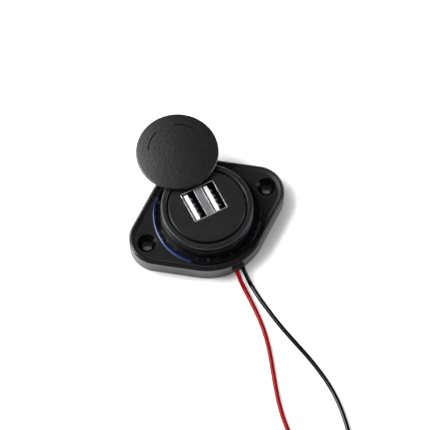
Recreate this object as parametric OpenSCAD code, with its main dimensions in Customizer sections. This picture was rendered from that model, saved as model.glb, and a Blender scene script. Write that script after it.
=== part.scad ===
// Surface-mount dual USB power socket for a vehicle.
// Millimetres. The back lies on z = 0, X runs from screw hole to screw hole,
// the leads leave toward -Y and the cap swings open toward +Y.

/* [Base] */
// Width of the field between the light ring and the rim
field_w = 0.8; // [0.6:0.1:3]
// Rise of the rim above the field
rim_rise = 0.8; // [0.5:0.1:1.2]
// Width of the raised rim
rim_w = 2.0; // [1.6:0.1:2.4]
// Height of the sunken field
field_h = 7.4; // [7.2:0.1:7.7]
// Chamfer on the outer edge of the rim
rim_edge = 0.7; // [0.3:0.1:1]
// How far the slope inside the rim reaches into its top
rim_inner_edge = 0.6; // [0.1:0.05:0.8]
// How far that slope reaches onto the field
rim_foot = 0.3; // [0.1:0.05:0.35]
// Chamfer round the foot
foot_edge = 0.4; // [0.2:0.1:0.6]
// Thickness of the side wall
wall_t = 2.0; // [1.6:0.1:2.2]
// Thickness of the deck under the field
deck_t = 2.2; // [1.8:0.1:2.4]

/* [Screw holes] */
// Width of the field between the light ring and a countersink
hole_margin = 1.3; // [1:0.1:3]
// Distance from the centre of an ear out to its hole
hole_out = 4.7; // [3.5:0.1:6]
// Width of the field between a countersink and the rim
sink_margin = 0.65; // [0.4:0.05:1.5]
// Radius of each mounting hole
hole_r = 1.9; // [1.5:0.1:2.2]
// Radius of the countersink at the field
sink_r = 3.9; // [3.2:0.1:4.2]
// Depth of the straight part of the countersink
sink_straight = 0.8; // [0:0.1:1.2]
// Wall of the screw tube under the deck
tube_wall = 1.6; // [1.2:0.1:2]
// Thickness of the ribs beside the screw tube
rib_t = 1.2; // [0.8:0.1:1.6]
// Room between those ribs and the back cover
rib_room = 0.5; // [0.3:0.1:1]

/* [Back cover] */
// Thickness of the back cover
cover_t = 1.5; // [1.3:0.1:1.8]
// Width of the ledge that the cover seats on
cover_ledge = 1.0; // [0.7:0.1:1.2]
// Radius of a cover screw's shank
cover_screw_r = 0.9; // [0.7:0.05:1.1]
// Radius of a cover screw's head
cover_head_r = 1.6; // [1.4:0.1:1.8]
// Height of a cover screw's head
cover_head_h = 0.8; // [0.6:0.1:0.9]
// Length of a cover screw
cover_screw_len = 4.2; // [3.6:0.1:4.4]
// Distance of the cover screws in from the edge of an ear
cover_screw_in = 1.65; // [1.5:0.05:2]
// Distance of the cover screws outward from the centre of an ear
cover_screw_out = 0.5; // [0:0.1:1]

/* [Light ring] */
// Gap between the socket's collar and the light ring
light_gap = 0.6; // [0.4:0.05:0.8]
// Width of the light ring
light_w = 2.45; // [2.2:0.05:2.6]
// Width of its raised outer part
light_proud_w = 1.3; // [1:0.1:1.5]
// Height of its raised outer part above the field
light_proud_h = 1.2; // [0.8:0.1:1.6]
// Height of its lower inner part above the field
light_step_h = 0.3; // [0.1:0.1:0.6]
// Depth of its trough below the field
trough_depth = 1.8; // [1.6:0.1:2]
// Thickness of the trough's floor
trough_web = 0.8; // [0.7:0.1:0.9]
// Thickness of the board that carries the lamps
lamp_board_t = 0.6; // [0.4:0.1:0.7]
// Height of a lamp
lamp_h = 0.6; // [0.4:0.1:0.7]
// Number of lamps round the ring
lamp_count = 6; // [4:1:8]

/* [Socket] */
// Overhang of the bezel ring past the neck
bezel_lip = 1.0; // [0.8:0.1:1.2]
// Width of the bezel ring's top
bezel_w = 2.2; // [2:0.1:2.5]
// Height of the bezel ring's top
bezel_top = 16.0; // [15.5:0.1:17]
// Height of the bezel ring
bezel_h = 1.8; // [1.6:0.1:2.2]
// Rounding of the bezel ring's outer edge
bezel_round = 0.7; // [0.5:0.1:1.3]
// Width of the ledge that carries the face plate
ledge_w = 0.7; // [0.5:0.1:0.9]
// Depth of the face plate below the bezel's top
face_drop = 0.1; // [0:0.05:0.3]
// Width of the groove round the face plate
groove_w = 0.7; // [0.5:0.1:0.9]
// Depth of the groove round the face plate
groove_depth = 1.6; // [1.2:0.1:1.8]
// Thickness of the face plate at its middle
face_t = 2.6; // [2.4:0.1:3]
// Overhang of the collar past the tube that passes through the base
collar_lip = 0.85; // [0.7:0.05:1]
// Step in from that tube to the neck under the bezel ring
neck_step = 0.3; // [0.1:0.1:0.5]
// Height of the neck
neck_h = 1.4; // [1:0.1:2]
// Wall of that tube
body_wall = 1.6; // [1.4:0.1:1.8]

/* [Ports] */
// Long side of a port's shell
shell_len = 13.1; // [12.8:0.1:13.6]
// Thickness of the shell's sheet
shell_t = 0.3; // [0.2:0.05:0.4]
// Clear height of a port
port_h = 5.12; // [5:0.02:5.3]
// Width of the divider between the two ports
divider_w = 2.86; // [2.4:0.02:3.4]
// Offset of the ports toward the cap's pivot
port_y = 2.5; // [1.5:0.1:2.6]
// Thickness of a tongue
tongue_t = 1.84; // [1.6:0.02:2]
// Gap between a tongue and each end of its port
tongue_side = 0.45; // [0.3:0.05:0.7]
// Gap between a tongue and the near side of its shell
tongue_gap = 0.7; // [0.5:0.05:0.9]
// Depth of a tongue's tip below the mouth
tongue_drop = 0.7; // [0.4:0.1:1.2]
// Height of the insulator at the foot of the shell
insulator_h = 2.2; // [1.8:0.1:2.6]
// Thickness of a contact strip
contact_t = 0.25; // [0.2:0.05:0.3]
// Width of a contact strip
contact_w = 1.0; // [0.8:0.1:1.2]
// How far a contact bows out from its tongue
contact_bow = 0.9; // [0.5:0.1:1]
// Depth of a contact's end below its tongue's tip
contact_drop = 0.6; // [0.5:0.1:1.2]
// Radius of the shell's corners
shell_round = 0.5; // [0.3:0.1:0.8]

/* [Cap] */
// Overlap of the closed cap on the bezel ring
cap_cover = 0.4; // [0.2:0.1:1]
// Thickness of the cap at its edge
cap_edge_t = 1.5; // [1.3:0.1:2]
// Rise of the cap's domed top
cap_dome = 1.1; // [0.4:0.1:1.2]
// Rounding of the cap's upper edge
cap_round = 0.5; // [0.3:0.1:0.7]
// Width of the cap's underside rim
cap_rim_w = 1.3; // [1:0.1:1.8]
// Depth of the hollow inside that rim
cap_hollow = 0.6; // [0.3:0.1:0.7]
// Gap between the closed cap and the bezel ring
cap_gap = 0.6; // [0.3:0.1:0.8]
// Distance from the ports' shell to the pivot
pivot_gap = 3.8; // [3.5:0.05:3.9]
// Radius of the pivot pin
pin_r = 1.25; // [1:0.05:1.4]
// Radius of the shoulder round the pin
shoulder_r = 2.4; // [2:0.1:2.4]
// Radius of the washer and the screw head under the face plate
keeper_r = 1.9; // [1.7:0.1:2]
// Thickness of the washer
keeper_t = 0.4; // [0.3:0.1:0.5]
// Height of the screw head
keeper_head_h = 1.0; // [0.8:0.1:1.2]
// Radius of the screw's shank
keeper_shank_r = 0.6; // [0.5:0.05:0.7]
// Length of that shank in the pin
keeper_grip = 2.0; // [1.5:0.1:2.4]
// Room between the washer and the inside of the socket body
keeper_room = 1.15; // [1.05:0.05:1.5]

/* [Board] */
// Step in from the outside of the socket body to the board's edge
board_step = 0.5; // [0.2:0.1:0.8]
// Thickness of the circuit board
board_t = 1.6; // [1.2:0.1:1.6]
// Height of the posts that carry the board
post_h = 0.7; // [0.6:0.1:0.8]
// Radius of the posts that carry the board
post_r = 1.6; // [1.2:0.1:2]
// Width of the power inductor
inductor_w = 6.0; // [5:0.1:6]
// Height of the power inductor
inductor_h = 3.2; // [2.5:0.1:4]
// Radius of the input capacitor
input_can_r = 3.1; // [2.5:0.1:3.1]
// Radius of the output capacitor
output_can_r = 2.5; // [2:0.1:2.8]
// Distance of the output capacitor's centre from the middle of the ports
output_can_back = 8.0; // [7:0.1:8.5]
// Room between the input capacitor and the face plate
input_can_room = 2.0; // [1:0.1:3]
// Room between the output capacitor and the face plate
output_can_room = 2.7; // [1:0.1:4]
// Gap between the shell and the capacitors
can_gap = 0.8; // [0.4:0.1:0.8]
// Gap between the shell and the power inductor
inductor_gap = 1.1; // [0.5:0.1:1.1]
// Room between the parts on the board and the socket body
room_gap = 0.6; // [0.3:0.05:0.6]

/* [Leads] */
// Radius of a lead over its insulation
lead_r = 0.9; // [0.8:0.05:0.9]
// Distance between the two leads where they leave
lead_pitch = 2.7; // [2.5:0.1:3]
// Room between the leads and the light ring's trough
lead_room = 0.1; // [0.1:0.1:0.3]
// Room between the grommet and the back cover
grommet_room = 0.5; // [0.2:0.1:0.6]
// Wall of the grommet round the leads
grommet_wall = 0.55; // [0.4:0.05:0.6]
// How far the grommet stands out from the wall
grommet_out = 1.0; // [0.5:0.1:1.5]
// Thickness of the grommet's flange inside the wall
grommet_flange_t = 1.0; // [0.8:0.1:1.2]
// How far that flange reaches past the leads on each side
grommet_flange_w = 1.6; // [1:0.1:2]
// Radius of a bare lead end
strand_r = 0.5; // [0.4:0.05:0.6]
// Length of a bare lead end
strand_len = 6; // [4:0.5:8]

/* [Hidden] */
$fn = 96;

// Clearances that every fit uses
slip = 0.05;
ease = 0.1;
over = 1;
lift = 0.2;

// Heights, from the back upward
deck_low = field_h - deck_t;
trough_z = field_h - trough_depth;
trough_low = trough_z - trough_web;
board_z = cover_t + post_h;
board_top = board_z + board_t;
bezel_low = bezel_top - bezel_h;
collar_top = bezel_low - neck_h;
rim_h = field_h + rim_rise;
rim_lean = (rim_inner_edge + rim_foot) / rim_rise;
lip_h = field_h - 0.4;
ledge_z = bezel_top - groove_depth;
face_top = bezel_top - face_drop;
face_low = face_top - face_t;
mouth_z = face_top + 0.05;
insulator_top = board_top + insulator_h;
tip_z = mouth_z - tongue_drop;
cap_low = bezel_top + cap_gap;
cap_edge_top = cap_low + cap_edge_t;

// Ports
port_len = shell_len - 2 * shell_t;
shell_w = 2 * port_h + divider_w + 4 * shell_t;
port_x = (divider_w + port_h) / 2 + shell_t;
tongue_len = port_len - 2 * tongue_side;
pivot_y = port_y + shell_len / 2 + pivot_gap;

// Where the parts beside the shell stand
inductor_x = -shell_w / 2 - inductor_gap - inductor_w / 2;
input_can = [shell_w / 2 + can_gap + input_can_r, port_y + 1.2];
output_can = [shell_w / 2 + can_gap + output_can_r, port_y - output_can_back];

// Radii, from what the socket body holds outward to the rim
inductor_reach = norm([inductor_x - inductor_w / 2, port_y + inductor_w / 2]);
can_reach = norm(input_can) + input_can_r;
body_in_r = max(pivot_y + keeper_r + keeper_room, inductor_reach + room_gap, can_reach + room_gap);
body_r = body_in_r + body_wall;
bore_r = body_r + ease;
board_r = body_r - board_step;
collar_r = body_r + collar_lip;
neck_r = body_r - neck_step;
bezel_r = neck_r + bezel_lip;
bezel_in_r = bezel_r - bezel_w;
face_r = bezel_in_r - groove_w;
ledge_in_r = face_r - ledge_w;
spigot_r = (neck_r + bezel_in_r) / 2;
cap_r = bezel_in_r + cap_cover;
light_in_r = collar_r + light_gap;
light_r = light_in_r + light_w;
trough_out_r = light_r + ease;
trough_in_r = light_in_r - ease;

// The outline: the middle follows the light ring, and each ear follows its hole
base_mid_r = light_r + field_w + rim_w;
hole_pitch = 2 * (light_r + hole_margin + sink_r);
base_ear_x = hole_pitch / 2 - hole_out;
base_ear_r = hole_out + sink_r + sink_margin + rim_w;
tongue_dx = -port_h / 2 + tongue_gap + tongue_t / 2;
contact_y = [-3.5, -1, 1, 3.5];

// Cover screws and board posts
cover_spots = [for (sx = [-1, 1], sy = [-1, 1])
    [sx * (base_ear_x + cover_screw_out), sy * (base_ear_r - cover_screw_in)]];
post_spots = [for (a = [40, 140, 220, 320]) (board_r - post_r - 0.4) * [cos(a), sin(a)]];

// Leads: where they leave, and their routes as points on the centre line
lead_mid_x = 1.5;
lead_red_x = lead_mid_x - lead_pitch / 2;
lead_black_x = lead_mid_x + lead_pitch / 2;
lead_z = trough_low - lead_room - lead_r;
lead_floor = lead_r + 0.02;
lead_top_z = board_top + lead_r + 0.02;
exit_y = -(base_mid_r - wall_t);
grommet_flange_y = exit_y + 0.8;
red_route = [
    [lead_red_x, -12.3, lead_top_z], [lead_red_x, -13.5, lead_top_z],
    [lead_red_x, -14.7, lead_top_z - 0.15], [lead_red_x, -16.1, lead_z + 0.25],
    [lead_red_x, -17.5, lead_z], [lead_red_x, -21.3, lead_z], [lead_red_x, -25.4, lead_z], [0.05, -27, 3.3],
    [-0.1, -29.5, 2.0], [-0.15, -32, 1.15], [-0.2, -34.5, lead_floor], [-0.35, -39, lead_floor],
    [-0.6, -43.5, lead_floor], [-1.0, -48, lead_floor], [-1.8, -53, lead_floor],
    [-3.0, -58, lead_floor], [-4.5, -63, lead_floor], [-6.2, -68, lead_floor],
    [-7.9, -73, lead_floor], [-9.5, -78, lead_floor], [-10.8, -83, lead_floor],
    [-11.8, -88, lead_floor], [-12.4, -93, lead_floor], [-12.6, -98, lead_floor],
    [-12.4, -103, lead_floor], [-11.8, -108, lead_floor], [-10.9, -113, lead_floor],
    [-9.7, -118, lead_floor], [-8.2, -123, lead_floor], [-6.5, -127.5, lead_floor]];
black_route = [
    [lead_black_x, -12.3, lead_top_z], [lead_black_x, -13.5, lead_top_z],
    [lead_black_x, -14.7, lead_top_z - 0.15], [lead_black_x, -16.1, lead_z + 0.25],
    [lead_black_x, -17.5, lead_z], [lead_black_x, -21.3, lead_z], [lead_black_x, -25.4, lead_z], [2.85, -27, 3.3],
    [2.85, -29.5, 2.0], [2.9, -32, 1.15], [3.0, -34.5, lead_floor], [3.3, -39, lead_floor],
    [3.8, -43.5, lead_floor], [4.4, -48, lead_floor], [5.2, -53, lead_floor],
    [6.2, -58, lead_floor], [7.3, -63, lead_floor], [8.4, -68, lead_floor],
    [9.3, -73, lead_floor], [10.0, -78, lead_floor], [10.4, -83, lead_floor],
    [10.4, -88, lead_floor], [10.0, -93, lead_floor], [9.2, -98, lead_floor],
    [8.1, -103, lead_floor], [6.8, -108, lead_floor], [5.3, -113, lead_floor],
    [3.8, -118, lead_floor], [2.3, -123, lead_floor], [0.9, -127.5, lead_floor]];

// Colours, as the real object shows them
black = [0.13, 0.13, 0.14];
satin = [0.18, 0.18, 0.19];
steel = [0.72, 0.73, 0.74];
white = [0.93, 0.93, 0.9];
gold = [0.85, 0.7, 0.35];

// The diamond outline: a middle circle and two ears joined by flats. The flats lie a hair
// inside the common tangents, so that each crosses its arcs cleanly.
flat_inset = 0.01;
lean = acos((base_mid_r - base_ear_r) / base_ear_x);
function diamond_points(g) = [
    for (q = [[1, 1], [-1, 1], [-1, -1], [1, -1]])
        for (k = q[0] * q[1] > 0 ? [1, 0] : [0, 1])
            let (r = (k > 0 ? base_ear_r : base_mid_r) + g - flat_inset)
                [q[0] * (k * base_ear_x + r * cos(lean)), q[1] * r * sin(lean)]];

module diamond(g) {
    circle(r = base_mid_r + g);
    for (s = [-1, 1]) translate([s * base_ear_x, 0]) circle(r = base_ear_r + g);
    polygon(diamond_points(g));
}

module diamond_slab(g, z0, z1) {
    translate([0, 0, z0]) linear_extrude(z1 - z0) diamond(g);
}

// A sloping band between two sizes of the outline
module diamond_bevel(g0, z0, g1, z1) {
    low = [for (p = diamond_points(g0)) [p[0], p[1], z0]];
    high = [for (p = diamond_points(g1)) [p[0], p[1], z1]];
    n = len(low);
    polyhedron(points = concat(low, high),
               faces = concat([[for (i = [0:n - 1]) i]], [[for (i = [n - 1:-1:0]) n + i]],
                              [for (i = [0:n - 1]) [i, n + i, n + (i + 1) % n, (i + 1) % n]]));
    translate([0, 0, z0]) {
        cylinder(h = z1 - z0, r1 = base_mid_r + g0, r2 = base_mid_r + g1);
        for (s = [-1, 1]) translate([s * base_ear_x, 0, 0])
            cylinder(h = z1 - z0, r1 = base_ear_r + g0, r2 = base_ear_r + g1);
    }
}

module tube(r_out, r_in, z0, z1) {
    rotate_extrude() translate([r_in, z0]) square([r_out - r_in, z1 - z0]);
}

module at_holes() {
    for (s = [-1, 1]) translate([s * hole_pitch / 2, 0, 0]) children();
}

module at_spots(spots) {
    for (p = spots) translate([p[0], p[1], 0]) children();
}

// A slot with round ends that runs through the near wall along Y
module lead_slot(grow, y0, y1) {
    translate([lead_mid_x, y0, lead_z]) {
        for (s = [-1, 1]) translate([s * lead_pitch / 2, 0, 0]) rotate([-90, 0, 0])
            cylinder(h = y1 - y0, r = lead_r + grow);
        translate([-lead_pitch / 2, 0, -lead_r - grow]) cube([lead_pitch, y1 - y0, 2 * (lead_r + grow)]);
    }
}

// Room for both leads, side by side
module lead_gap(y0, y1, z0, z1) {
    translate([lead_red_x - lead_r - 0.3, y0, z0]) cube([lead_pitch + 2 * lead_r + 0.6, y1 - y0, z1 - z0]);
}

module base_housing() color(black) difference() {
    union() {
        difference() {
            union() {
                diamond_bevel(-foot_edge, 0, 0, foot_edge);
                diamond_slab(0, foot_edge, rim_h - rim_edge);
                diamond_bevel(0, rim_h - rim_edge, -rim_edge, rim_h);
            }
            diamond_bevel(-rim_w - rim_foot, field_h, -rim_w + rim_inner_edge + lift * rim_lean, rim_h + lift);
            diamond_slab(-wall_t, cover_t - 0.01, deck_low);
            diamond_slab(-wall_t + cover_ledge, -over, cover_t);
        }
        intersection() {
            tube(trough_out_r + 1, bore_r, trough_low, deck_low + over);
            diamond_slab(-wall_t / 2, trough_low - over, deck_low + 2 * over);
        }
        at_holes() cylinder(h = deck_low + over / 2, r = hole_r + tube_wall);
        intersection() {
            union() {
                at_spots(cover_spots) translate([0, 0, cover_t])
                    cylinder(h = deck_low - cover_t + over / 2, r = cover_screw_r + 1);
                at_holes() translate([-rib_t / 2, -base_ear_r, cover_t + rib_room])
                    cube([rib_t, 2 * base_ear_r, deck_low - cover_t - rib_room + over / 2]);
            }
            diamond_slab(-wall_t / 2, 0, field_h);
        }
    }
    translate([0, 0, -over]) cylinder(h = rim_h + 2 * over, r = bore_r);
    tube(trough_out_r, trough_in_r, trough_z, rim_h + over);
    tube(trough_in_r + over / 10, bore_r - over, lip_h, field_h + over);
    at_holes() {
        translate([0, 0, -over]) cylinder(h = rim_h + 2 * over, r = hole_r);
        translate([0, 0, field_h - sink_straight - (sink_r - hole_r)])
            cylinder(h = sink_r - hole_r, r1 = hole_r, r2 = sink_r);
        translate([0, 0, field_h - sink_straight]) cylinder(h = sink_straight + over, r = sink_r);
    }
    at_spots(cover_spots) translate([0, 0, cover_t - over])
        cylinder(h = cover_screw_len - cover_t + over + 0.2, r = cover_screw_r + slip);
    lead_slot(grommet_wall + slip, -base_mid_r - over, exit_y + over);
}

module bottom_cover() color(satin) difference() {
    union() {
        diamond_slab(-wall_t + cover_ledge - ease, 0, cover_t);
        at_spots(post_spots) cylinder(h = board_z, r = post_r);
    }
    at_holes() translate([0, 0, -over]) cylinder(h = cover_t + 2 * over, r = hole_r + tube_wall + ease);
    at_spots(cover_spots) {
        translate([0, 0, -over]) cylinder(h = cover_t + 2 * over, r = cover_screw_r + ease);
        translate([0, 0, -over]) cylinder(h = cover_head_h + over, r = cover_head_r + ease);
    }
    lead_slot(grommet_wall + ease, -base_mid_r - over, grommet_flange_y);
}

module cover_screws() color(steel) at_spots(cover_spots) difference() {
    union() {
        cylinder(h = cover_head_h, r = cover_head_r);
        cylinder(h = cover_screw_len, r = cover_screw_r);
    }
    for (a = [0, 90]) rotate(a) translate([-0.9, -0.2, -over]) cube([1.8, 0.4, over + 0.5]);
}

module light_ring() color([0.2, 0.35, 0.75]) {
    low = trough_z + lamp_board_t;
    step_r = light_r - light_proud_w;
    proud = field_h + light_proud_h;
    soft = 0.3;
    rotate_extrude() difference() {
        polygon(concat(
            [[light_in_r, low], [light_r, low], [light_r, proud - soft]],
            [for (a = [30:30:60]) [light_r - soft + soft * cos(a), proud - soft + soft * sin(a)]],
            [[light_r - soft, proud], [step_r + soft, proud], [step_r, proud - soft],
             [step_r, field_h + light_step_h], [light_in_r, field_h + light_step_h]]));
        translate([light_in_r + 0.4, low - over]) square([light_w - 0.8, lamp_h + ease + over]);
    }
}

module lamp_board() color([0.1, 0.3, 0.16])
    tube(light_r, light_in_r, trough_z, trough_z + lamp_board_t);

module lamps() color(white)
    for (i = [0:lamp_count - 1]) rotate(30 + i * 360 / lamp_count)
        translate([(light_r + light_in_r) / 2 - 0.5, -0.8, trough_z + lamp_board_t]) cube([1.0, 1.6, lamp_h]);

module socket_body() color(satin) difference() {
    rotate_extrude() polygon([
        [body_in_r, board_top], [body_r, board_top], [body_r, lip_h], [collar_r, lip_h],
        [collar_r, collar_top - 0.3], [collar_r - 0.3, collar_top], [neck_r, collar_top],
        [neck_r, bezel_low], [spigot_r, bezel_low], [spigot_r, bezel_top - 0.8],
        [bezel_in_r, bezel_top - 0.8], [bezel_in_r, ledge_z], [ledge_in_r, ledge_z],
        [ledge_in_r, ledge_z - 0.5], [body_in_r, ledge_z - 0.5 - (body_in_r - ledge_in_r)]]);
    lead_gap(-body_r - over, -body_in_r + 2 * over, board_top - over, board_top + 2 * lead_r + 0.3);
}

module bezel_ring() color(satin) rotate_extrude() polygon(concat(
    [[spigot_r + slip, bezel_low], [bezel_r, bezel_low]],
    [for (a = [0:15:90]) [bezel_r - bezel_round + bezel_round * cos(a), bezel_top - bezel_round + bezel_round * sin(a)]],
    [[bezel_in_r + 0.25, bezel_top], [bezel_in_r, bezel_top - 0.25], [bezel_in_r, bezel_top - 0.8 + slip],
     [spigot_r + slip, bezel_top - 0.8 + slip]]));

module face_plate() color(black) difference() {
    rotate_extrude() polygon([
        [0, face_low], [ledge_in_r - ease, face_low], [ledge_in_r - ease, ledge_z], [face_r, ledge_z],
        [face_r, face_top - 0.35], [face_r - 0.35, face_top], [0, face_top]]);
    translate([-shell_w / 2 - slip, port_y - shell_len / 2 - slip, face_low - over])
        cube([shell_w + 2 * slip, shell_len + 2 * slip, face_t + 2 * over]);
    translate([0, pivot_y, face_low - over]) cylinder(h = face_t + 2 * over, r = pin_r + slip);
}

// A spring finger on a port's wall, bent a little into the port
module finger(x, side, y) {
    top = mouth_z - 1.6;
    translate([x, port_y + y + 0.8, 0]) rotate([90, 0, 0]) linear_extrude(1.6) polygon([
        [0, top], [side * 0.35, top - 1.2], [side * 0.35, top - 1.8], [0, top - 5],
        [-side * 0.15, top - 5], [-side * 0.15, top]]);
}

module usb_shell() color(steel) {
    difference() {
        translate([0, port_y, board_top]) {
            linear_extrude(mouth_z - board_top) {
                square([shell_w - 2 * shell_round, shell_len], center = true);
                square([shell_w, shell_len - 2 * shell_round], center = true);
                for (sx = [-1, 1], sy = [-1, 1])
                    translate([sx * (shell_w / 2 - shell_round), sy * (shell_len / 2 - shell_round)])
                        circle(r = shell_round, $fn = 32);
            }
        }
        for (s = [-1, 1]) translate([s * port_x - port_h / 2, port_y - port_len / 2, insulator_top - over])
            cube([port_h, port_len, mouth_z]);
        translate([-divider_w / 2, port_y - port_len / 2, insulator_top - over])
            cube([divider_w, port_len, mouth_z]);
        translate([-shell_w / 2 + shell_t, port_y - port_len / 2, board_top - over])
            cube([shell_w - 2 * shell_t, port_len, insulator_top - board_top + over]);
    }
    for (s = [-1, 1], y = [-2.9, 2.9]) finger(s * port_x + port_h / 2, -1, y);
}

module port_divider() color([0.55, 0.55, 0.56])
    translate([-divider_w / 2 + slip, port_y - port_len / 2 + slip, insulator_top])
        cube([divider_w - 2 * slip, port_len - 2 * slip, mouth_z - insulator_top - 0.15]);

module usb_insulator() color(white)
    translate([-shell_w / 2 + shell_t + slip, port_y - port_len / 2 + slip, board_top])
        cube([shell_w - 2 * shell_t - 2 * slip, port_len - 2 * slip, insulator_h]);

// A tongue with a bevelled tip, standing on the insulator
module tongue(side) {
    x = side * port_x + tongue_dx;
    translate([x, port_y + tongue_len / 2, 0]) rotate([90, 0, 0]) linear_extrude(tongue_len) polygon([
        [-tongue_t / 2, insulator_top], [tongue_t / 2, insulator_top], [tongue_t / 2, tip_z - 0.6],
        [tongue_t / 2 - 0.3, tip_z], [-tongue_t / 2 + 0.2, tip_z], [-tongue_t / 2, tip_z - 0.3]]);
}
module tongue_left() color(white) tongue(-1);
module tongue_right() color(white) tongue(1);

// Four sprung strips on a tongue's open side
module contacts(side) {
    x = side * port_x + tongue_dx + tongue_t / 2;
    foot = insulator_top;
    head = tip_z - contact_drop;
    for (y = contact_y) translate([x, port_y + y + contact_w / 2, 0]) rotate([90, 0, 0])
        linear_extrude(contact_w) polygon([
            [0, foot], [contact_t, foot], [contact_t, foot + 3], [contact_bow + contact_t, head - 1.6],
            [contact_bow + contact_t, head - 0.8], [contact_t, head], [0, head],
            [contact_bow, head - 1.0], [contact_bow, head - 1.5], [0, foot + 3.2]]);
}
module contacts_left() color(gold) contacts(-1);
module contacts_right() color(gold) contacts(1);

module circuit_board() color([0.1, 0.3, 0.16]) difference() {
    translate([0, 0, board_z]) cylinder(h = board_t, r = board_r);
    for (sx = [-1, 1], y = contact_y) translate([sx * port_x, port_y + y, board_z - over])
        cylinder(h = board_t + 2 * over, r = 0.4);
    for (x = [lead_red_x, lead_black_x]) translate([x, red_route[0][1] + lead_r - 0.2, board_z - over])
        cylinder(h = board_t + 2 * over, r = strand_r + ease);
    lead_gap(-board_r - over, red_route[1][1], board_z - over, board_top + over);
}

module power_inductor() color([0.25, 0.25, 0.26]) translate([inductor_x, port_y, board_top]) {
    translate([-inductor_w / 2, -inductor_w / 2, 0]) cube([inductor_w, inductor_w, 0.8]);
    cylinder(h = inductor_h - 0.4, r = inductor_w / 2 - 0.8);
    translate([0, 0, inductor_h - 0.8]) cylinder(h = 0.8, r = inductor_w / 2 - 0.1);
}

// An upright can capacitor with its crimp groove
module can(r, h) {
    rotate_extrude() polygon([
        [0, 0], [r, 0], [r, 1.1], [r - 0.3, 1.4], [r, 1.7], [r, h - 0.3], [r - 0.3, h], [0, h]]);
}
module input_capacitor() color([0.2, 0.24, 0.45])
    translate([input_can[0], input_can[1], board_top]) can(input_can_r, face_low - input_can_room - board_top);
module output_capacitor() color([0.2, 0.24, 0.45])
    translate([output_can[0], output_can[1], board_top]) can(output_can_r, face_low - output_can_room - board_top);

module converter_chip() color(black) {
    y = port_y - shell_len / 2 - 4;
    translate([-2.5, y - 2, board_top + 0.15]) cube([5, 4, 1.4]);
    for (x = [-1.9, -0.63, 0.63, 1.9], s = [-1, 1])
        translate([x - 0.2, s > 0 ? y + 1.9 : y - 2.8, board_top]) cube([0.4, 0.9, 0.3]);
}

module rectifier_diode() color(black)
    translate([-shell_w / 2 - 2.25, port_y - shell_len / 2 - 4.55, board_top]) {
    translate([-2.1, -1.3, 0.2]) cube([4.2, 2.6, 1.9]);
    for (s = [-1, 1]) translate([s * 2.1 - 0.45, -0.75, 0]) cube([0.9, 1.5, 0.6]);
}

// The cap as it lies open; it turns about the pin on its near edge
module cap() color(satin) {
    crown = cap_edge_top + cap_dome;
    crown_r = (pow(cap_r - cap_round, 2) + cap_dome * cap_dome) / (2 * cap_dome);
    crown_steps = [for (i = [8:-1:1]) (cap_r - cap_round) * i / 8];
    translate([0, 2 * pivot_y, 0]) rotate_extrude() polygon(concat(
        [[0, cap_low + cap_hollow], [cap_r - cap_rim_w, cap_low + cap_hollow],
         [cap_r - cap_rim_w, cap_low], [cap_r - 0.2, cap_low], [cap_r, cap_low + 0.2]],
        [for (a = [0:30:60]) [cap_r - cap_round + cap_round * cos(a), cap_edge_top - cap_round + cap_round * sin(a)]],
        [for (x = crown_steps) [x, crown - crown_r + sqrt(crown_r * crown_r - x * x)]],
        [[0, crown]]));
    translate([0, pivot_y, 0]) difference() {
        union() {
            translate([0, 0, face_low - ease]) cylinder(h = cap_low + cap_hollow + 0.2 - face_low + ease, r = pin_r);
            translate([0, 0, face_top + ease]) cylinder(h = cap_low + cap_hollow + 0.2 - face_top - ease, r = shoulder_r);
        }
        translate([0, 0, face_low - ease - over]) cylinder(h = keeper_grip + 0.2 + over, r = keeper_shank_r + slip);
    }
}

module cap_washer() color(steel) translate([0, pivot_y, 0])
    tube(keeper_r, keeper_shank_r + slip, face_low - ease - keeper_t, face_low - ease);

module cap_screw() color(steel) translate([0, pivot_y, face_low - ease - keeper_t]) difference() {
    union() {
        translate([0, 0, -keeper_head_h]) cylinder(h = keeper_head_h, r = keeper_r - 0.2);
        cylinder(h = keeper_t + keeper_grip, r = keeper_shank_r);
    }
    for (a = [0, 90]) rotate(a) translate([-1, -0.2, -keeper_head_h - over]) cube([2, 0.4, over + 0.5]);
}

module lead_grommet() color(black) difference() {
    union() {
        intersection() {
            lead_slot(grommet_wall, -base_mid_r - grommet_out, grommet_flange_y);
            cylinder(h = rim_h, r = base_mid_r + grommet_out);
        }
        translate([lead_mid_x - lead_pitch / 2 - lead_r - grommet_flange_w, grommet_flange_y, cover_t + grommet_room])
            cube([lead_pitch + 2 * lead_r + 2 * grommet_flange_w, grommet_flange_t,
                  trough_low - ease - cover_t - grommet_room]);
    }
    for (x = [lead_red_x, lead_black_x]) translate([x, -base_mid_r - grommet_out - over, lead_z]) rotate([-90, 0, 0])
        cylinder(h = base_mid_r + grommet_out + over - body_r, r = lead_r + slip);
}

// A tube swept along a route of points, with square frames kept level
function unit(v) = v / norm(v);
function heading(p, i) = unit(p[min(i + 1, len(p) - 1)] - p[max(i - 1, 0)]);
function hoop(p, i, r, n) =
    let (t = heading(p, i), s = unit(cross(t, [0, 0, 1])), u = cross(s, t))
    [for (k = [0:n - 1]) p[i] + r * (cos((k + 0.5) * 360 / n) * s + sin((k + 0.5) * 360 / n) * u)];
module sweep(p, r, n = 8) {
    m = len(p);
    polyhedron(
        points = [for (i = [0:m - 1]) each hoop(p, i, r, n)],
        faces = concat(
            [[for (k = [0:n - 1]) k]], [[for (k = [n - 1:-1:0]) (m - 1) * n + k]],
            [for (i = [0:m - 2], k = [0:n - 1])
                [i * n + k, (i + 1) * n + k, (i + 1) * n + (k + 1) % n, i * n + (k + 1) % n]]));
}

module lead_red() color([0.75, 0.06, 0.08]) sweep(red_route, lead_r);
module lead_black() color([0.08, 0.08, 0.08]) sweep(black_route, lead_r);

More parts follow.
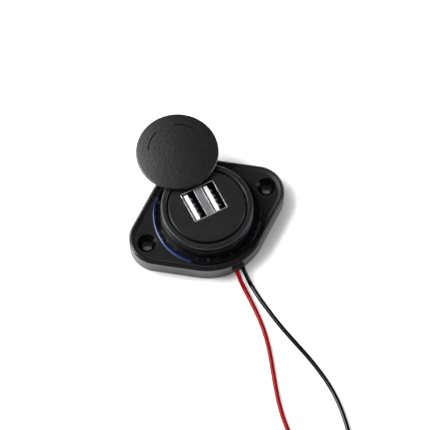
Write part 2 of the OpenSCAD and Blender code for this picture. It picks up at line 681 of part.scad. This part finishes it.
module strand(route) {
    last = route[len(route) - 1];
    way = unit(last - route[len(route) - 2]);
    sweep([last, last + way * strand_len / 2, last + way * strand_len], strand_r);
}
module strand_red() color([0.8, 0.8, 0.8]) strand(red_route);
module strand_black() color([0.8, 0.8, 0.8]) strand(black_route);

base_housing();
bottom_cover();
cover_screws();
light_ring();
lamp_board();
lamps();
socket_body();
bezel_ring();
face_plate();
usb_shell();
port_divider();
usb_insulator();
tongue_left();
tongue_right();
contacts_left();
contacts_right();
circuit_board();
power_inductor();
input_capacitor();
output_capacitor();
converter_chip();
rectifier_diode();
cap();
cap_screw();
cap_washer();
lead_grommet();
lead_red();
lead_black();
strand_red();
strand_black();
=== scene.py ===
import math

import bpy
from mathutils import Matrix, Vector


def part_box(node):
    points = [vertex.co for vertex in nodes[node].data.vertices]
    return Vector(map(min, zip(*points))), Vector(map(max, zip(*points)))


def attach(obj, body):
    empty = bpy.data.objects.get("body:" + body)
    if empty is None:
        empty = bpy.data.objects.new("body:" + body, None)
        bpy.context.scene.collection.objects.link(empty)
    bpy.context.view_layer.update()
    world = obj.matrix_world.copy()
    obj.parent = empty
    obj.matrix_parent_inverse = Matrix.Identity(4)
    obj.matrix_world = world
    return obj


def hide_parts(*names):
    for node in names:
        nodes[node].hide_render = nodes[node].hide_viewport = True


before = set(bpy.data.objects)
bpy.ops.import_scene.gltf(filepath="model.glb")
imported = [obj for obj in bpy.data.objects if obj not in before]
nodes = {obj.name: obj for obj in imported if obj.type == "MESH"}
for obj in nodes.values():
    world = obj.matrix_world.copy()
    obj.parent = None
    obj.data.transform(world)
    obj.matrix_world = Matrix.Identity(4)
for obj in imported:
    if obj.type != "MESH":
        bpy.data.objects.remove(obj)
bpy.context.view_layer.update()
MM = 0.001


# Camera, at the photograph's viewing angle
def set_camera():
    az, el, roll = math.radians(-27.22), math.radians(66.45), math.radians(-0.05)
    back = Vector((math.sin(az) * math.cos(el), -math.cos(az) * math.cos(el), math.sin(el)))
    right = Vector((math.cos(az), math.sin(az), 0))
    up = back.cross(right)
    right, up = (math.cos(roll) * right + math.sin(roll) * up,
                 math.cos(roll) * up - math.sin(roll) * right)
    place = (999.4 * back + 3.16 * right + 2.90 * up) * MM
    data = bpy.data.cameras.new("camera")
    data.sensor_width = 36
    data.lens = 2507.37 / 430 * 36
    data.clip_start = 0.05
    data.clip_end = 50
    cam = bpy.data.objects.new("camera", data)
    bpy.context.scene.collection.objects.link(cam)
    turn = Matrix((right, up, back)).transposed().to_4x4()
    cam.matrix_world = Matrix.Translation(place) @ turn
    bpy.context.scene.camera = cam


set_camera()


# Materials
def new_material(name):
    m = bpy.data.materials.new(name)
    m.use_nodes = True
    tree = m.node_tree
    return m, tree, tree.nodes["Principled BSDF"]


def node(tree, kind, **values):
    n = tree.nodes.new(kind)
    for key, value in values.items():
        if key in n.inputs:
            n.inputs[key].default_value = value
        else:
            setattr(n, key, value)
    return n


def coordinates(tree):
    return tree.nodes.new("ShaderNodeTexCoord").outputs["Object"]


def noise(tree, scale, detail=3.0, where=None):
    n = node(tree, "ShaderNodeTexNoise", Scale=scale, Detail=detail)
    tree.links.new(where or coordinates(tree), n.inputs["Vector"])
    return n.outputs["Fac"]


def ramp(tree, value, stops):
    r = tree.nodes.new("ShaderNodeValToRGB")
    while len(r.color_ramp.elements) < len(stops):
        r.color_ramp.elements.new(0.5)
    for e, (at, colour) in zip(r.color_ramp.elements, stops):
        e.position = at
        e.color = (*colour, 1)
    tree.links.new(value, r.inputs["Fac"])
    return r.outputs["Color"]


def spread(tree, value, low, high):
    r = node(tree, "ShaderNodeMapRange")
    r.inputs["To Min"].default_value = low
    r.inputs["To Max"].default_value = high
    tree.links.new(value, r.inputs["Value"])
    return r.outputs["Result"]


def bump(tree, shader, value, strength, distance, soft=0.0):
    b = node(tree, "ShaderNodeBump", Strength=strength, Distance=distance)
    tree.links.new(value, b.inputs["Height"])
    if soft:
        edge = node(tree, "ShaderNodeBevel", Radius=soft, samples=4)
        tree.links.new(edge.outputs["Normal"], b.inputs["Normal"])
    tree.links.new(b.outputs["Normal"], shader.inputs["Normal"])


def maths(tree, kind, a, b=None):
    n = node(tree, "ShaderNodeMath", operation=kind)
    for i, v in enumerate((a, b)):
        if isinstance(v, (int, float)):
            n.inputs[i].default_value = v
        elif v is not None:
            tree.links.new(v, n.inputs[i])
    return n.outputs[0]


def step(tree, value, low, high, start=0.0, end=1.0):
    n = node(tree, "ShaderNodeMapRange", interpolation_type="SMOOTHSTEP")
    for key, v in (("From Min", low), ("From Max", high), ("To Min", start), ("To Max", end)):
        n.inputs[key].default_value = v
    tree.links.new(value, n.inputs["Value"])
    return n.outputs["Result"]


def split(tree, where=None):
    n = node(tree, "ShaderNodeSeparateXYZ")
    tree.links.new(where or coordinates(tree), n.inputs[0])
    return n.outputs["X"], n.outputs["Y"], n.outputs["Z"]


def polar(tree, x, y):
    radius = maths(tree, "SQRT", maths(tree, "ADD", maths(tree, "MULTIPLY", x, x), maths(tree, "MULTIPLY", y, y)))
    return radius, maths(tree, "ARCTAN2", y, x)


def window(tree, value, low, high, soft):
    return maths(tree, "MULTIPLY", step(tree, value, low - soft, low + soft),
                 step(tree, value, high - soft, high + soft, 1.0, 0.0))


def mix(tree, factor, a, b):
    n = node(tree, "ShaderNodeMix", data_type="RGBA")
    tree.links.new(factor, n.inputs["Factor"])
    for key, v in ((6, a), (7, b)):
        if isinstance(v, tuple):
            n.inputs[key].default_value = (*v, 1)
        else:
            tree.links.new(v, n.inputs[key])
    return n.outputs[2]


def shade(colour, k):
    return tuple(min(1.0, c * k) for c in colour)


# Hairline scratches: short straight lines in scattered patches, as a mask from 0 to 1
def scratches(tree, scale, width, start, end):
    cells = node(tree, "ShaderNodeTexVoronoi", feature="DISTANCE_TO_EDGE", Scale=scale)
    tree.links.new(coordinates(tree), cells.inputs["Vector"])
    lines = step(tree, cells.outputs["Distance"], 0.0, width, 1.0, 0.0)
    return maths(tree, "MULTIPLY", lines, step(tree, noise(tree, 260, 2), start, end))


# Edges, as a mask from 0 to 1: the places where a rounded normal leaves the true one. It lightens rubbed edges and
# paints highlight lines along them
def edges(tree, radius):
    eased = node(tree, "ShaderNodeBevel", Radius=radius, samples=8)
    true = tree.nodes.new("ShaderNodeNewGeometry")
    match = node(tree, "ShaderNodeVectorMath", operation="DOT_PRODUCT")
    tree.links.new(eased.outputs["Normal"], match.inputs[0])
    tree.links.new(true.outputs["Normal"], match.inputs[1])
    return step(tree, match.outputs["Value"], 0.86, 0.985, 1.0, 0.0)


# Moulded plastic: faint mottling, uneven gloss, a fine grain and eased edges
def plastic(name, colour, rough, grain=1400, depth=0.00002, strength=0.5, soft=0.00015, gloss=0.5, vary=0.12,
            wear_and_highlight=None):
    m, tree, s = new_material(name)
    skin = ramp(tree, noise(tree, 120, 4), [(0.3, shade(colour, 1 - vary)), (0.7, shade(colour, 1 + vary))])
    # Lighter rubbed edges in the wear colour, which also paint highlight lines along the edges
    if wear_and_highlight:
        rubbed_and_highlit = maths(tree, "MULTIPLY", edges(tree, 0.00018), spread(tree, noise(tree, 180, 3), 0.4, 1.2))
        skin = mix(tree, rubbed_and_highlit, skin, wear_and_highlight)
    tree.links.new(skin, s.inputs["Base Color"])
    tree.links.new(spread(tree, noise(tree, 260, 5), rough - 0.05, rough + 0.05), s.inputs["Roughness"])
    s.inputs["Specular IOR Level"].default_value = gloss
    bump(tree, s, noise(tree, grain, 2), strength, depth, soft)
    return m


def metal(name, colour, rough, grain=900, depth=0.000008, soft=0.0001):
    m, tree, s = new_material(name)
    s.inputs["Metallic"].default_value = 1.0
    tree.links.new(ramp(tree, noise(tree, 300, 4), [(0.3, shade(colour, 0.88)), (0.7, shade(colour, 1.06))]),
                   s.inputs["Base Color"])
    tree.links.new(spread(tree, noise(tree, 500, 4), rough - 0.06, rough + 0.08), s.inputs["Roughness"])
    bump(tree, s, noise(tree, grain, 2), 0.4, depth, soft)
    return m


HOUSING = plastic("housing_moulding", (0.009, 0.009, 0.009), 0.25, grain=900, depth=0.00003, soft=0.00022,
                  wear_and_highlight=(0.10, 0.10, 0.10))
# Painted shade: the rim's flat top is a darker copy of the housing's colour
RIM_TOP_PAINTED_SHADE = plastic("rim_top_painted_shade", (0.006, 0.006, 0.006), 0.17, grain=900, depth=0.00003, soft=0.00022,
              gloss=0.35, wear_and_highlight=(0.10, 0.10, 0.10))
# Painted highlight: the slope inside the rim is a lighter copy of the housing's colour
SLOPE_PAINTED_HIGHLIGHT = plastic("rim_slope_painted_highlight", (0.012, 0.012, 0.012), 0.47, grain=900, depth=0.00003, soft=0.00022,
                wear_and_highlight=(0.10, 0.10, 0.10))
COVER = plastic("back_cover_moulding", (0.020, 0.020, 0.022), 0.5)
TRIM = plastic("socket_satin", (0.005, 0.005, 0.006), 0.38, grain=1500, depth=0.00006,
               strength=0.8, gloss=0.45)
FACE = plastic("face_satin", (0.005, 0.005, 0.005), 0.35, grain=1300, depth=0.00008,
               strength=0.9)
STEEL_AT_MOUTH = (0.78, 0.78, 0.79)
DIVIDER = metal("divider_steel", (0.33, 0.33, 0.34), 0.42)
TONGUE = plastic("tongue_white", (0.82, 0.82, 0.81), 0.4, vary=0.03, soft=0.00008)
CONTACT = metal("contact_metal", (0.55, 0.545, 0.53), 0.5)
BOARD = plastic("board_mask", (0.012, 0.075, 0.035), 0.35, vary=0.25)
FERRITE = plastic("ferrite", (0.035, 0.034, 0.036), 0.6, vary=0.2)
CAN = metal("can_aluminium", (0.60, 0.62, 0.66), 0.35)
CHIP = plastic("chip_mould", (0.018, 0.018, 0.018), 0.6)
LAMP = plastic("lamp_white", (0.75, 0.76, 0.70), 0.35, vary=0.05)
SCREW = metal("screw_zinc", (0.55, 0.56, 0.58), 0.35)
RUBBER = plastic("grommet_rubber", (0.012, 0.012, 0.013), 0.62)
RED = plastic("red_insulation", (0.24, 0.003, 0.005), 0.13, grain=900, depth=0.000005, soft=0, vary=0.08,
              gloss=0.1)
DARK = plastic("black_insulation", (0.001, 0.001, 0.001), 0.07, grain=900, depth=0.000005, soft=0,
               gloss=0.3)
TINNED = metal("tinned_copper", (0.72, 0.71, 0.68), 0.32)


# The cap: satin black with a fine grain, and two plain engraved arcs near its far edge, painted black as shade in their
# grooves
def cap_material():
    m, tree, s = new_material("cap_satin")
    x, y, z = split(tree)
    low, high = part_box("cap")
    middle = high[1] - (high[0] - low[0]) / 2
    radius, angle = polar(tree, x, maths(tree, "SUBTRACT", y, middle))
    turned = [window(tree, angle, math.radians(a), math.radians(b), 0.012) for a, b in ((22, 68), (110, 151))]
    arcs = maths(tree, "MULTIPLY", maths(tree, "ADD", *turned), window(tree, radius, 0.01122, 0.01172, 0.00006))
    top = step(tree, z, 0.0172, 0.0174)
    engraving_painted_shade = maths(tree, "MULTIPLY", arcs, top)
    skin = ramp(tree, noise(tree, 900, 4), [(0.35, (0.002, 0.002, 0.002)), (0.65, (0.006, 0.006, 0.006))])
    tree.links.new(mix(tree, engraving_painted_shade, skin, (0.001, 0.001, 0.001)), s.inputs["Base Color"])
    skin_rough = spread(tree, noise(tree, 1300, 4), 0.27, 0.42)
    tree.links.new(maths(tree, "MAXIMUM", skin_rough, engraving_painted_shade), s.inputs["Roughness"])
    # A dark metal reflects nothing, which keeps the arcs black from every side: painted shade in the engraving
    tree.links.new(maths(tree, "MULTIPLY", engraving_painted_shade, 0.85), s.inputs["Metallic"])
    s.inputs["Specular IOR Level"].default_value = 0.8
    grain = maths(tree, "SUBTRACT", maths(tree, "MULTIPLY", noise(tree, 1200, 3), 0.8), maths(tree, "MULTIPLY", engraving_painted_shade, 0.4))
    bump(tree, s, grain, 0.8, 0.0001, 0.00015)
    return m


# The ports' steel: bright at the mouth, and darkened down inside by painted shade
def shell_material():
    m, tree, s = new_material("shell_steel")
    s.inputs["Metallic"].default_value = 1.0
    x, y, z = split(tree)
    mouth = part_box("usb_shell")[1][2]
    bright = step(tree, z, mouth - 0.00025, mouth - 0.00005)
    worn = ramp(tree, noise(tree, 300, 4), [(0.3, shade(STEEL_AT_MOUTH, 0.85)), (0.7, STEEL_AT_MOUTH)])
    # Painted shade: the steel is given a dark colour below the mouth
    tree.links.new(mix(tree, bright, (0.045, 0.045, 0.047), worn), s.inputs["Base Color"])
    tree.links.new(spread(tree, noise(tree, 500, 4), 0.30, 0.44), s.inputs["Roughness"])
    bump(tree, s, noise(tree, 900, 2), 0.4, 0.000008, 0.00014)
    return m


CAPSKIN = cap_material()
STEEL = shell_material()
# The holes' dark colour is painted shade
HOLE_PAINTED_SHADE = plastic("hole_painted_shade", (0.0015, 0.0015, 0.0015), 0.20, grain=1600, depth=0.00001, gloss=0.30)


# The clear light ring: dark and glossy, with painted blue colour and a painted glow along its left side, and a brighter
# painted glow along its outer line there
def lens_material():
    m, tree, s = new_material("light_ring_acrylic")
    x, y, z = split(tree)
    # Measured from the -X direction, so that the arc of painted glow is one unbroken range of angles
    radius, angle = polar(tree, maths(tree, "MULTIPLY", x, -1.0), maths(tree, "MULTIPLY", y, -1.0))
    turned = maths(tree, "ABSOLUTE", angle)
    off = maths(tree, "DIVIDE", maths(tree, "SUBTRACT", radius, 0.0208), 0.0007)
    ends = maths(tree, "ADD", turned, maths(tree, "MULTIPLY", maths(tree, "MULTIPLY", off, off), 0.035))
    painted_glow_arc = maths(tree, "MULTIPLY", step(tree, ends, 0.80, 0.83, 1.0, 0.0), window(tree, radius, 0.0203, 0.0216, 0.0001))
    # A painted glow along the ring's outer line, brighter towards the left
    line = window(tree, radius, 0.02123, 0.0216, 0.00005)
    bright = maths(tree, "MULTIPLY", line, step(tree, turned, 0.15, 0.75, 0.26, 0.06))
    # A faint painted glow over the rest of the arc
    low = step(tree, angle, -0.3, 0.5, 0.002, 0.008)
    tree.links.new(maths(tree, "MULTIPLY", painted_glow_arc, maths(tree, "ADD", bright, low)), s.inputs["Emission Strength"])
    # Painted blue colour on the arc only; the rest of the ring is dark
    clear = mix(tree, painted_glow_arc, (0.004, 0.004, 0.005), (0.002, 0.006, 0.032))
    worn = maths(tree, "MULTIPLY", scratches(tree, 260, 0.03, 0.48, 0.60), step(tree, radius, 0.0200, 0.0212, 1.0, 0.0))
    tree.links.new(mix(tree, worn, clear, (0.13, 0.13, 0.13)), s.inputs["Base Color"])
    tree.links.new(mix(tree, line, (0.02, 0.12, 0.75), (0.36, 0.52, 1.0)), s.inputs["Emission Color"])
    tree.links.new(maths(tree, "MAXIMUM", maths(tree, "MULTIPLY", worn, 0.5), 0.10), s.inputs["Roughness"])
    bump(tree, s, noise(tree, 700, 3), 0.2, 0.00001, 0.0001)
    return m


# The socket's side: satin like the bezel, with small scuffs
def socket_material():
    m = plastic("socket_side", (0.004, 0.004, 0.005), 0.38, grain=1500, depth=0.00006, strength=0.8, gloss=0.3)
    tree = m.node_tree
    s = tree.nodes["Principled BSDF"]
    skin = s.inputs["Base Color"].links[0].from_socket
    tree.links.new(mix(tree, scratches(tree, 420, 0.04, 0.52, 0.62), skin, (0.06, 0.06, 0.06)), s.inputs["Base Color"])
    return m


LENS = lens_material()
SOCKET = socket_material()

finishes = {
    "base_housing": HOUSING, "bottom_cover": COVER, "cover_screws": SCREW, "light_ring": LENS,
    "lamp_board": BOARD, "lamps": LAMP, "socket_body": SOCKET, "bezel_ring": TRIM, "face_plate": FACE,
    "usb_shell": STEEL, "port_divider": DIVIDER, "usb_insulator": TONGUE, "tongue_left": TONGUE,
    "tongue_right": TONGUE, "contacts_left": CONTACT, "contacts_right": CONTACT, "circuit_board": BOARD,
    "power_inductor": FERRITE, "input_capacitor": CAN, "output_capacitor": CAN, "converter_chip": CHIP,
    "rectifier_diode": CHIP, "cap": CAPSKIN, "cap_screw": SCREW, "cap_washer": SCREW,
    "lead_grommet": RUBBER,
}
for name, finish in finishes.items():
    o = nodes[name]
    o.data.materials.clear()
    o.data.materials.append(finish)

# The countersinks and bores are painted darker than the field around them, as painted shade; the rim's flat top is
# smoother than the rest and painted darker, as painted shade;
# and the slope inside the rim is rougher and painted lighter, as a painted highlight
base = nodes["base_housing"].data
for finish in (HOLE_PAINTED_SHADE, RIM_TOP_PAINTED_SHADE, SLOPE_PAINTED_HIGHLIGHT):
    base.materials.append(finish)
hole_x = 26.6 * MM
for face in base.polygons:
    c, n = face.center, face.normal
    if math.hypot(abs(c.x) - hole_x, c.y) < 3.93 * MM and c.z < 7.39 * MM:
        face.material_index = 1
    elif c.z > 8.15 * MM and n.z > 0.98:
        face.material_index = 2
    elif c.z > 7.42 * MM and 0.5 < n.z < 0.98 and n.x * c.x + n.y * c.y < 0:
        face.material_index = 3


def link(o):
    bpy.context.scene.collection.objects.link(o)
    return o


# Leads: the routes of the CAD solids, in millimetres
lead_floor = 0.92
red_x, black_x = 0.15, 2.85
start = [(-12.3, 4.72), (-13.5, 4.72), (-14.7, 4.57), (-16.1, 4.05), (-17.5, 3.8), (-21.3, 3.8), (-25.4, 3.8)]
red_route = [(red_x, y, z) for y, z in start] + [
    (0.05, -27, 3.3), (-0.1, -29.5, 2.0), (-0.15, -32, 1.15), (-0.2, -34.5, 0.96)] + [(x, y, lead_floor) for x, y in [
        (-0.35, -39), (-0.6, -43.5), (-1.0, -48), (-1.8, -53), (-3.0, -58), (-4.5, -63),
        (-6.2, -68), (-7.9, -73), (-9.5, -78), (-10.8, -83), (-11.8, -88), (-12.4, -93), (-12.6, -98),
        (-12.4, -103), (-11.8, -108), (-10.9, -113), (-9.7, -118), (-8.2, -123), (-6.5, -127.5)]]
black_route = [(black_x, y, z) for y, z in start] + [
    (2.85, -27, 3.3), (2.85, -29.5, 2.0), (2.9, -32, 1.15), (3.0, -34.5, 0.96)] + [(x, y, lead_floor) for x, y in [
        (3.3, -39), (3.8, -43.5), (4.4, -48), (5.2, -53), (6.2, -58), (7.3, -63),
        (8.4, -68), (9.3, -73), (10.0, -78), (10.4, -83), (10.4, -88), (10.0, -93), (9.2, -98),
        (8.1, -103), (6.8, -108), (5.3, -113), (3.8, -118), (2.3, -123), (0.9, -127.5)]]


def curve(name, points, radius, finish, steps=6):
    data = bpy.data.curves.new(name, "CURVE")
    data.dimensions = "3D"
    data.bevel_depth = radius * MM
    data.bevel_resolution = 6
    data.resolution_u = steps
    data.use_fill_caps = True
    line = data.splines.new("BEZIER")
    line.bezier_points.add(len(points) - 1)
    for b, p in zip(line.bezier_points, points):
        b.co = Vector(p) * MM
        b.handle_left_type = b.handle_right_type = "AUTO"
    data.materials.append(finish)
    return link(bpy.data.objects.new(name, data))


def strands(name, route, finish):
    last, before = Vector(route[-1]), Vector(route[-2])
    way = (last - before).normalized()
    side = way.cross(Vector((0, 0, 1))).normalized()
    up = side.cross(way)
    data = bpy.data.curves.new(name, "CURVE")
    data.dimensions = "3D"
    data.bevel_depth = 0.16 * MM
    data.bevel_resolution = 3
    data.use_fill_caps = True
    places = [(0, 0)] + [(0.3 * math.cos(k * math.pi / 3), 0.3 * math.sin(k * math.pi / 3)) for k in range(6)]
    for u, v in places:
        line = data.splines.new("POLY")
        n = 13
        line.points.add(n - 1)
        for i in range(n):
            t = i / (n - 1)
            turn = 1.6 * math.pi * t
            a = u * math.cos(turn) - v * math.sin(turn)
            b = u * math.sin(turn) + v * math.cos(turn)
            p = last + way * (6 * t - 0.1) + side * a + up * b
            line.points[i].co = (*(p * MM), 1)
    data.materials.append(finish)
    return link(bpy.data.objects.new(name, data))


for colour, route, finish in (("red", red_route, RED), ("black", black_route, DARK)):
    cord = curve("wire_" + colour, route, 0.9, finish)
    bare = strands("wire_end_" + colour, route, TINNED)
    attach(cord, "socket")
    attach(bare, "socket")
    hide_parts("lead_" + colour)
    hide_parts("strand_" + colour)


# Floor, world and lamps
FLOOR_GLOW = 0.45


def make_floor():
    mesh = bpy.data.meshes.new("floor")
    h = 8.0
    low = -0.05 * MM
    mesh.from_pydata([(-h, -h, low), (h, -h, low), (h, h, low), (-h, h, low)], [], [(0, 1, 2, 3)])
    o = link(bpy.data.objects.new("floor", mesh))
    m, tree, s = new_material("floor_white")
    s.inputs["Roughness"].default_value = 0.9
    s.inputs["Specular IOR Level"].default_value = 0.0
    tree.links.new(ramp(tree, noise(tree, 3, 2), [(0.2, (0.90, 0.90, 0.90)), (0.8, (0.92, 0.92, 0.92))]),
                   s.inputs["Base Color"])
    path = tree.nodes.new("ShaderNodeLightPath")
    seen = node(tree, "ShaderNodeMath", operation="ADD")
    seen.use_clamp = True
    tree.links.new(path.outputs["Is Camera Ray"], seen.inputs[0])
    tree.links.new(path.outputs["Is Glossy Ray"], seen.inputs[1])
    glow = node(tree, "ShaderNodeMath", operation="MULTIPLY")
    tree.links.new(seen.outputs[0], glow.inputs[0])
    # No glow under the base, whose outline this rounded diamond follows, and little close to it: a painted shadow on
    # the floor around the base
    x, y, z = split(tree)
    half_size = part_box("base_housing")[1]
    reach = maths(tree, "ADD", *[
        maths(tree, "POWER", maths(tree, "DIVIDE", maths(tree, "ABSOLUTE", v), half), 1.65)
        for v, half in ((x, half_size[0]), (y, half_size[1]))])
    tree.links.new(step(tree, reach, 0.95, 1.45, 0.06, FLOOR_GLOW), glow.inputs[1])
    tree.links.new(glow.outputs[0], s.inputs["Emission Strength"])
    s.inputs["Emission Color"].default_value = (1, 1, 1, 1)
    mesh.materials.append(m)


def make_world():
    w = bpy.data.worlds.new("studio")
    w.use_nodes = True
    bpy.context.scene.world = w
    tree = w.node_tree
    bg = tree.nodes["Background"]
    split = tree.nodes.new("ShaderNodeSeparateXYZ")
    tree.links.new(tree.nodes.new("ShaderNodeTexCoord").outputs["Generated"], split.inputs[0])
    sky = [(0.0, (0.07,) * 3), (0.3, (0.07,) * 3), (0.8, (0.06,) * 3), (1.0, (0.06,) * 3)]
    tree.links.new(ramp(tree, split.outputs["Z"], sky), bg.inputs["Color"])
    bg.inputs["Strength"].default_value = 1.0


def lamp(name, place, aim, wide, high, power):
    data = bpy.data.lights.new(name, "AREA")
    data.shape = "RECTANGLE"
    data.size = wide
    data.size_y = high
    data.energy = power
    o = link(bpy.data.objects.new(name, data))
    o.location = place
    o.rotation_euler = (Vector(aim) - Vector(place)).to_track_quat("-Z", "Y").to_euler()


make_floor()
make_world()
lamp("key", (-0.45, 0.36, 0.60), (0, 0, 0.02), 0.55, 0.50, 10.6)
lamp("low", (-0.62, 0.26, 0.20), (0, 0, 0.02), 0.30, 0.24, 2.0)
lamp("back", (-0.10, 0.62, 0.45), (0, 0, 0.02), 0.25, 0.25, 1.1)
lamp("fill", (0.55, -0.25, 0.30), (0, 0, 0.02), 0.30, 0.30, 2.2)

view = bpy.context.scene.view_settings
view.view_transform = "Standard"
